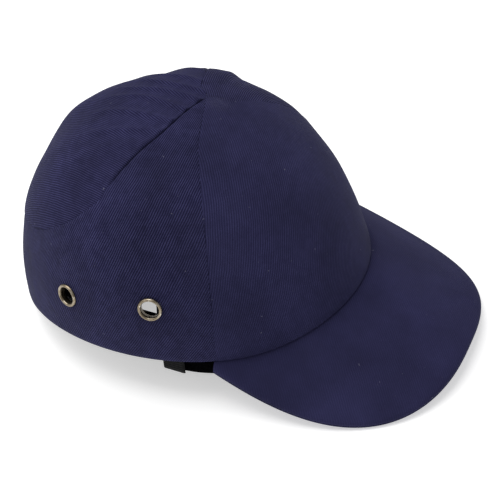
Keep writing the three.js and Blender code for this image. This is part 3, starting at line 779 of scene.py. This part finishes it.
def brim():
    brim_layer("brim_top_cover", 0.3 * MM, 0.9 * MM, 1.2 * MM, 2.2 * MM, BRIM_TWILL, 21)
    brim_layer("brim_under_cover", 3.0 * MM, 0.9 * MM, -1.0 * MM, 2.2 * MM, BRIM_TWILL, 22)


# ---- Eyelets ----

def eyelet_place(side, which):
    turn, height = EYELETS[which]
    angle = np.array([SIDES[side] * turn], float)
    u = fraction_at(angle, height)
    return to_frame(crown_point(angle, u))[0], crown_normal(angle, u)[0]


def lathe(name, profile, place, segments=72):
    """A ring or disc turned about a direction. The profile is (radius, height) pairs."""
    position, direction = place
    turns = np.linspace(0, math.tau, segments, endpoint=False)
    closed = profile[0][0] > 0
    points, faces, rings = [], [], []
    for radius, height in profile:
        if radius == 0:
            rings.append([len(points)] * segments)
            points.append((0, 0, height))
            continue
        rings.append([len(points) + i for i in range(segments)])
        points += [(radius * math.cos(t), radius * math.sin(t), height) for t in turns]
    pairs = list(zip(rings, rings[1:] + rings[:1])) if closed else list(zip(rings, rings[1:]))
    for low, high in pairs:
        for i in range(segments):
            j = (i + 1) % segments
            corners = [low[i], low[j], high[j], high[i]]
            face = [v for k, v in enumerate(corners) if v not in corners[:k]]
            faces.append(face)
    turn = Vector(direction).to_track_quat("Z", "Y").to_matrix().to_4x4()
    matrix = Matrix.Translation(Vector(position)) @ turn
    return plain_object(name, [matrix @ Vector(p) for p in points], faces)


def arc_profile(centre, radius_out, radius_up, start, end, count):
    """Points of an elliptical arc in a profile, from one angle to another in degrees."""
    turns = np.radians(np.linspace(start, end, count))
    return list(zip(centre[0] + radius_out * np.cos(turns), centre[1] + radius_up * np.sin(turns)))


def eyelet(side, which):
    hole, barrel, rim = 4.8 * MM, 5.2 * MM, 6.5 * MM
    base, height, flare = 0.3 * MM, 1.15 * MM, 0.25 * MM
    end = -(FABRIC + 0.7 * MM)
    roll = arc_profile(((hole + rim) / 2, base), (rim - hole) / 2, height, 0, 180, 14)
    under = [
        (hole + flare, end), (barrel + 0.4 * flare, end),
        (barrel, -0.05 * MM), (rim - 0.5 * MM, 0.0),
    ]
    piece = lathe(f"eyelet_ring_{side}_{which}", (roll + under)[::-1], eyelet_place(side, which))
    finish_turned(piece, f"eyelet_{side}_{which}", "cap", BRASS)
    radius, half_width, half_height = 5.95 * MM, 0.55 * MM, 0.3 * MM
    middle = -(FABRIC + 0.1 * MM) - half_height
    ring = arc_profile((radius, middle), half_width, half_height, 0, 360, 17)[:-1]
    washer = lathe(f"washer_ring_{side}_{which}", ring, eyelet_place(side, which))
    finish_turned(washer, f"washer_{side}_{which}", "cap", BRASS)


def finish_turned(piece, node, body, material):
    piece.data.materials.append(material)
    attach(piece, body)
    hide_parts(node)


# ---- Hard shell and pads ----

SHELL_EDGE_FRONT = 26 * MM
SHELL_EDGE_REAR = 20 * MM
TEMPLE_RISE = 26 * MM
TEMPLE_ANGLE = 74
TEMPLE_SPREAD = 16
SLOT_LEVELS = ((0.28, 0.46), (0.56, 0.74))
SLOT_SPAN = (0.399, 0.599)  # fractions of a sector
SECTORS = 12
RIVET_HOLE = 2.2 * MM


def shell_edge(angle):
    """The fraction of a meridian where the hard shell starts."""
    turn = np.abs((angle + 180) % 360 - 180)
    base = SHELL_EDGE_REAR + (SHELL_EDGE_FRONT - SHELL_EDGE_REAR) * (1 + np.cos(np.radians(turn))) / 2
    temple = TEMPLE_RISE * np.exp(-(((turn - TEMPLE_ANGLE) / TEMPLE_SPREAD) ** 2))
    return fraction_at(angle, base + temple)


def weld(piece):
    """Joins points that coincide, where a grid closes to a tip."""
    shape = bmesh.new()
    shape.from_mesh(piece.data)
    bmesh.ops.remove_doubles(shape, verts=shape.verts, dist=1e-6)
    bmesh.ops.recalc_face_normals(shape, faces=shape.faces)
    shape.to_mesh(piece.data)
    shape.free()


def bump_shell():
    """The vented shell: two rings of slots, with a rib inside each side of every slot."""
    per_sector, count = 20, 101
    angles = np.arange(SECTORS * per_sector) * 360 / (SECTORS * per_sector)
    levels = np.linspace(0, 1, count)[:, None]
    start = shell_edge(angles)
    u = start + levels * (1 - start)
    columns = np.broadcast_to(angles, u.shape)
    points, normals = crown_point(columns, u), crown_normal(columns, u)
    sector = (columns / 360 * SECTORS) % 1
    from_rib = np.minimum(sector, 1 - sector) * 360 / SECTORS
    fade = smooth(levels, 0.05, 0.2) * (1 - smooth(levels, 0.8, 0.92))
    rib = 0.9 * MM * np.exp(-((from_rib / 2.2) ** 2)) * fade
    thinning = 0.48 * MM * (1 - np.clip(levels / 0.05, 0, 1)) ** 2
    outer = points - normals * SHELL_DEPTH
    inner = points - normals * (SHELL_DEPTH + SHELL_THICKNESS + rib - thinning)[..., None]
    is_slot = (sector >= SLOT_SPAN[0]) & (sector < SLOT_SPAN[1])
    in_level = np.zeros(u.shape, bool)
    for low, high in SLOT_LEVELS:
        in_level |= (levels >= low) & (levels < high)
    keep = ~(is_slot & in_level)[:-1]
    vertices, faces, _ = shell_mesh(outer, inner, keep, closed=True)
    piece = new_object("bump_shell", vertices, faces, "insert", SHELL)
    weld(piece)
    soften(piece, 0.5 * MM)
    for _, place in hanger_places():
        drill_hole(piece, place, RIVET_HOLE, 14 * MM)
    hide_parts("bump_shell")


def soften(piece, width):
    bevel = piece.modifiers.new("edges", "BEVEL")
    bevel.width = width
    bevel.segments = 2
    bevel.limit_method = "ANGLE"
    bevel.angle_limit = math.radians(40)
    apply_modifiers(piece)


def pad_form(name, angles, fractions, distance, thickness, closed=False):
    """A foam pad: a thin welded edge that swells to its full thickness."""
    points, normals = crown_point(angles, fractions), crown_normal(angles, fractions)
    edge, shoulder = 1.3 * MM, 7 * MM
    swell = np.sqrt(1 - (1 - np.clip(distance(points) / shoulder, 0, 1)) ** 2)
    depth = edge + (thickness - edge) * swell
    outer = points - normals * (PAD_DEPTH + 0.25 * MM * (1 - swell))[..., None]
    inner = points - normals * (PAD_DEPTH + depth)[..., None]
    vertices, faces, _ = shell_mesh(outer, inner, closed=closed)
    piece = new_object(name, vertices, faces, "insert", FOAM)
    if closed:
        weld(piece)
    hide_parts(name)


def foam_pads():
    turns = np.arange(120) * 3.0
    u = np.broadcast_to(np.linspace(0.68, 1, 60)[:, None], (60, 120))

    def from_rim(points):
        return arcs(points, 0)

    pad_form("crown_pad", np.broadcast_to(turns, u.shape), u, from_rim, 8 * MM, closed=True)

    def from_edges(points):
        across, along = arcs(points, 1), arcs(points, 0)
        sides = np.minimum(across, across[:, -1:] - across)
        ends = np.minimum(along, along[-1:] - along)
        corner = 5 * MM
        near = np.hypot(np.clip(corner - sides, 0, None), np.clip(corner - ends, 0, None))
        return np.where((sides < corner) & (ends < corner), np.maximum(corner - near, 0),
                        np.minimum(sides, ends))

    for name, first, last, low, high in (
        ("front_pad", -30, 30, 0.3, 0.56), ("rear_pad", 152, 208, 0.36, 0.6),
        ("right_pad", 82, 116, 0.44, 0.62), ("left_pad", -116, -82, 0.44, 0.62),
    ):
        u, turn = np.meshgrid(np.linspace(low, high, 40), np.linspace(first, last, 60), indexing="ij")
        pad_form(name, turn, u, from_edges, 6 * MM)


# ---- Headband ----

STRAP_INSET = 1.1 * MM + GAP
LOOP_INSET = STRAP_INSET + STRAP_THICKNESS + GAP
HOOK_INSET = LOOP_INSET + PATCH_THICKNESS + GAP
NAPE_INSET = HOOK_INSET + PATCH_THICKNESS + GAP
ARM_END = -4 * MM
STRIP_ROWS = 25


def ring_point(angle, inset):
    """A point of the headband's ring in plan, pulled in by inset."""
    x, y = oval(angle, RING_HALF_WIDTH - inset, RING_FRONT + STRAIGHT_FROM - inset,
                RING_REAR - STRAIGHT_TO - inset)
    return x, y + np.where(np.cos(np.radians(angle)) > 0, STRAIGHT_FROM, STRAIGHT_TO)


def sweatband():
    """A towelling band, rounded at its top and bottom and drawn in by a line of stitching."""
    thickness = 4 * MM
    angles = np.linspace(-90, 90, 181)
    height = np.linspace(0, 1, 41)[:, None]
    roundness = np.sqrt(1 - (1 - np.clip(np.minimum(height, 1 - height) / 0.09, 0, 1)) ** 2)
    stitches = 0.6 * MM * np.exp(-((height - 0.86) / 0.025) ** 2)
    z = BAND_BOTTOM + BAND_HEIGHT * height
    walk = np.radians(angles) * RING_HALF_WIDTH
    ripple = 0.15 * MM * np.sin(walk / (2.3 * MM)) * np.exp(-((height - 0.86) / 0.06) ** 2)
    layers = []
    for inset in (LOOP_INSET + 1.6 * MM * (1 - roundness) + 0.3 * stitches,
                  LOOP_INSET + thickness - 1.6 * MM * (1 - roundness) - stitches + ripple):
        x, y = ring_point(angles, inset)
        layers.append(np.stack([x, y, np.broadcast_to(z, x.shape)], -1))
    vertices, faces, _ = shell_mesh(layers[0], layers[1])
    piece = new_object("sweatband", vertices, faces, "insert", TERRY)
    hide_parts("sweatband")


def strip(name, outer, inward, thickness, body, material):
    """A flat strip of webbing from a grid of outer points, with rounded selvedges."""
    across = np.linspace(-1, 1, outer.shape[0])[:, None, None]
    past = np.clip((np.abs(across) - 0.9) / 0.1, 0, 1)
    edge = 0.45 * thickness * (1 - np.sqrt(1 - past**2))
    top = outer + inward * edge
    bottom = outer + inward * (thickness - edge)
    vertices, faces, _ = shell_mesh(top, bottom)
    piece = new_object(name, vertices, faces, body, material)
    weld(piece)
    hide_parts(name)
    return piece


def side_strip(name, side, inset, thickness, ends, bottom, height, body, material):
    """A strip along a straight side of the ring."""
    sign = -SIDES[side]
    y, z = np.meshgrid(np.linspace(*ends, 50), np.linspace(bottom, bottom + height, STRIP_ROWS))
    outer = np.stack([np.full_like(y, sign * (RING_HALF_WIDTH - inset)), y, z], -1)
    inward = np.array([-sign, 0, 0])
    strip(name, outer, inward, thickness, body, material)


def headband(side):
    margin = 2 * MM
    low, high = STRAP_BOTTOM + margin, STRAP_HEIGHT - 2 * margin
    strap, loop = f"{side}_headband_strap", f"{side}_loop_patch"
    side_strip(strap, side, STRAP_INSET, STRAP_THICKNESS, (-24.6 * MM, 25 * MM), STRAP_BOTTOM,
               STRAP_HEIGHT, "insert", WEBBING)
    side_strip(loop, side, LOOP_INSET, PATCH_THICKNESS, (-21.6 * MM, 23 * MM), low, high,
               "insert", HOOKS)
    side_strip(f"{side}_hook_patch", side, HOOK_INSET, PATCH_THICKNESS, (ARM_END + margin, STRAIGHT_TO),
               low, high, "nape", HOOKS)


def nape_strap():
    """The strap runs round the nape and forward along both sides."""
    turns = np.linspace(90, 270, 141)
    x, y = ring_point(turns, NAPE_INSET)
    y = np.maximum(y, STRAIGHT_TO)
    arm = np.linspace(ARM_END, STRAIGHT_TO, 14)[:-1]
    x = np.concatenate([np.full(len(arm), x[0]), x, np.full(len(arm), x[-1])])
    y = np.concatenate([arm, y, arm[::-1]])
    path = np.stack([x, y], -1)
    along = np.gradient(path, axis=0)
    along /= np.linalg.norm(along, axis=1, keepdims=True)
    inward = np.stack([along[:, 1], -along[:, 0], np.zeros(len(x))], -1)
    z = np.linspace(STRAP_BOTTOM, STRAP_BOTTOM + STRAP_HEIGHT, STRIP_ROWS)[:, None]
    shape = (STRIP_ROWS, len(x))
    outer = np.stack([np.broadcast_to(axis, shape) for axis in (x, y, z)], -1)
    strip("nape_strap", outer, inward, STRAP_THICKNESS, "nape", WEBBING)


def angle_across(u, y):
    """The angle on the right side at which a level line of the crown crosses y."""

    def is_ahead(angle):
        return crown_point(angle, u)[..., 1] < y

    return bisect(np.full_like(y, 30.0), np.full_like(y, 150.0), is_ahead)


def inside_shell(y, climb, side):
    """A point of the shell's inner side, a climb above its edge, and the normal there."""
    near_edge = np.full_like(y, 0.3)
    u = shell_edge(angle_across(near_edge, y)) + climb
    angle = angle_across(u, y)
    mirror = np.array([SIDES[side], 1, 1])
    normal = crown_normal(angle, u)
    return (crown_point(angle, u) - normal * PAD_DEPTH) * mirror, normal * mirror


# Each hanger's place along y, its lower end, and the length that its tab is cut to.
HANGERS = {"front": (-27 * MM, 13 * MM, 73 * MM), "rear": (7 * MM, 21 * MM, 46 * MM)}
HANGER_LAP = 0.1
HANGER_WIDTH = 13 * MM


def hanger_places():
    """Each tab's name and its rivet's place and direction."""
    for side in SIDES:
        for which, (y, _, _) in HANGERS.items():
            position, normal = inside_shell(np.array([y]), HANGER_LAP / 2, side)
            yield f"{side}_{which}", (to_frame(position)[0], normal[0])


def hanger(side, which):
    """A tab stands against the band, then leans in along the shell and is riveted to it."""
    y, bottom, cut_length = HANGERS[which]
    top = STRAP_BOTTOM + STRAP_HEIGHT + 0.2 * MM
    columns, leaning = 17, [0.25, 0.5, 0.75]
    across = y + np.linspace(-0.5, 0.5, columns) * HANGER_WIDTH
    x = np.full(columns, -SIDES[side] * RING_HALF_WIDTH)
    upright = [np.stack([x, across, np.full(columns, z)], -1) for z in np.linspace(bottom, top, 16)]
    lap = [inside_shell(across, climb, side) for climb in np.linspace(0, HANGER_LAP, 14)]
    first, direction = lap[0]
    lean = [upright[-1] + (first - upright[-1]) * t for t in leaning]
    away = np.array([-SIDES[side], 0, 0.0])
    rows = upright + lean + [point for point, _ in lap]
    turns = [0.0] * len(upright) + leaning + [1.0] * len(lap)
    normals = [direction] * len(upright + lean) + [normal for _, normal in lap]
    inward = np.stack([-(away * (1 - t) + normal * t) for t, normal in zip(turns, normals)])
    outer = np.stack(rows).transpose(1, 0, 2)
    inward = inward.transpose(1, 0, 2)
    inward /= np.linalg.norm(inward, axis=-1, keepdims=True)
    strip(f"{side}_{which}_hanger", outer, inward, 1.1 * MM, "insert", WEBBING)


def rivet(name, place):
    """A snap rivet with a domed head on each side."""
    shaft, head, tail = 1.8 * MM, 3.6 * MM, 3.0 * MM
    inside, outside = -2.7 * MM, SHELL_THICKNESS + 1.9 * MM
    head_dome = arc_profile((0, inside - 0.3 * MM), head, 0.9 * MM, -90, 0, 9)
    tail_dome = arc_profile((0, outside + 0.2 * MM), tail, 0.6 * MM, 0, 90, 7)
    head_dome[0], tail_dome[-1] = (0, head_dome[0][1]), (0, tail_dome[-1][1])
    middle = [(head, inside), (shaft, inside), (shaft, outside), (tail, outside)]
    profile = head_dome + middle + tail_dome
    piece = lathe(f"{name}_snap", profile, place, 40)
    finish_turned(piece, f"{name}_rivet", "insert", RIVET)


# ---- Camera, floor and light ----

AZIMUTH, ELEVATION, ROLL = -63.05, 39.65, 3.94
AIM = Vector((-0.004, -0.038 + AXIS_Y, 0.040))
DISTANCE = 0.678
FOCAL_LENGTH = 87


def camera():
    az, el, roll = (math.radians(a) for a in (AZIMUTH, ELEVATION, ROLL))
    back = Vector((math.sin(az) * math.cos(el), -math.cos(az) * math.cos(el), math.sin(el)))
    right = Vector((0, 0, 1)).cross(back).normalized()
    up = back.cross(right)
    right, up = (
        right * math.cos(roll) - up * math.sin(roll),
        right * math.sin(roll) + up * math.cos(roll),
    )
    lens = bpy.data.cameras.new("camera")
    lens.lens = FOCAL_LENGTH
    lens.sensor_width = 36
    lens.clip_start = 0.01
    eye = bpy.data.objects.new("camera", lens)
    axes = Matrix((right, up, back)).transposed().to_4x4()
    eye.matrix_world = Matrix.Translation(AIM + back * DISTANCE) @ axes
    bpy.context.scene.collection.objects.link(eye)
    bpy.context.scene.camera = eye


def floor():
    size, level = 12.0, -0.5 * MM
    corners = [(x * size, y * size, level) for x, y in ((-1, -1), (1, -1), (1, 1), (-1, 1))]
    ground = plain_object("floor", corners, [(0, 1, 2, 3)])
    material = bpy.data.materials.new("floor_white")
    material.use_nodes = True
    shader = material.node_tree.nodes["Principled BSDF"]
    shader.inputs["Base Color"].default_value = rgb(0.8, 0.8, 0.8)
    shader.inputs["Roughness"].default_value = 0.9
    shader.inputs["Emission Color"].default_value = rgb(1, 1, 1)
    shader.inputs["Emission Strength"].default_value = 0.5
    ground.data.materials.append(material)


def area_light(name, position, target, size, power):
    data = bpy.data.lights.new(name, "AREA")
    data.size = size
    data.energy = power
    lamp = bpy.data.objects.new(name, data)
    lamp.location = position
    lamp.rotation_euler = (Vector(target) - Vector(position)).to_track_quat("-Z", "Y").to_euler()
    bpy.context.scene.collection.objects.link(lamp)


def light():
    world = bpy.data.worlds.new("studio")
    world.use_nodes = True
    world.node_tree.nodes["Background"].inputs[0].default_value = rgb(1, 1, 1)
    world.node_tree.nodes["Background"].inputs[1].default_value = 0.34
    bpy.context.scene.world = world
    centre = (0, 0, 0.05)
    area_light("softbox_overhead", (0.0, 0.4, 1.35), centre, 1.1, 14)
    area_light("key_behind_left", (-0.5, 1.0, 0.9), centre, 0.7, 2.5)
    bpy.context.scene.view_settings.view_transform = "Standard"


camera()
front_panel()
side_panel("right")
side_panel("left")
rear_crown_panel()
tapes()
brim()
for side in SIDES:
    for which in EYELETS:
        eyelet(side, which)
bump_shell()
foam_pads()
sweatband()
nape_strap()
for side in SIDES:
    headband(side)
    for which in HANGERS:
        hanger(side, which)
for name, place in hanger_places():
    rivet(name, place)

CAD_MATERIALS = {
    "twill": FRONT_TWILL, "lining_tape": TAPE, "brim_board": BOARD, "antique_brass": BRASS,
    "shell_plastic": SHELL, "foam": FOAM, "terry": TERRY, "webbing": WEBBING,
    "hook_and_loop": HOOKS, "black_plastic": RIVET,
}
for row in frame["record"]["subparts"]:
    node = frame["nodes"][row["node"]]
    for place in node.material_slots:
        place.material = CAD_MATERIALS[row["material_slot"]]

floor()
light()
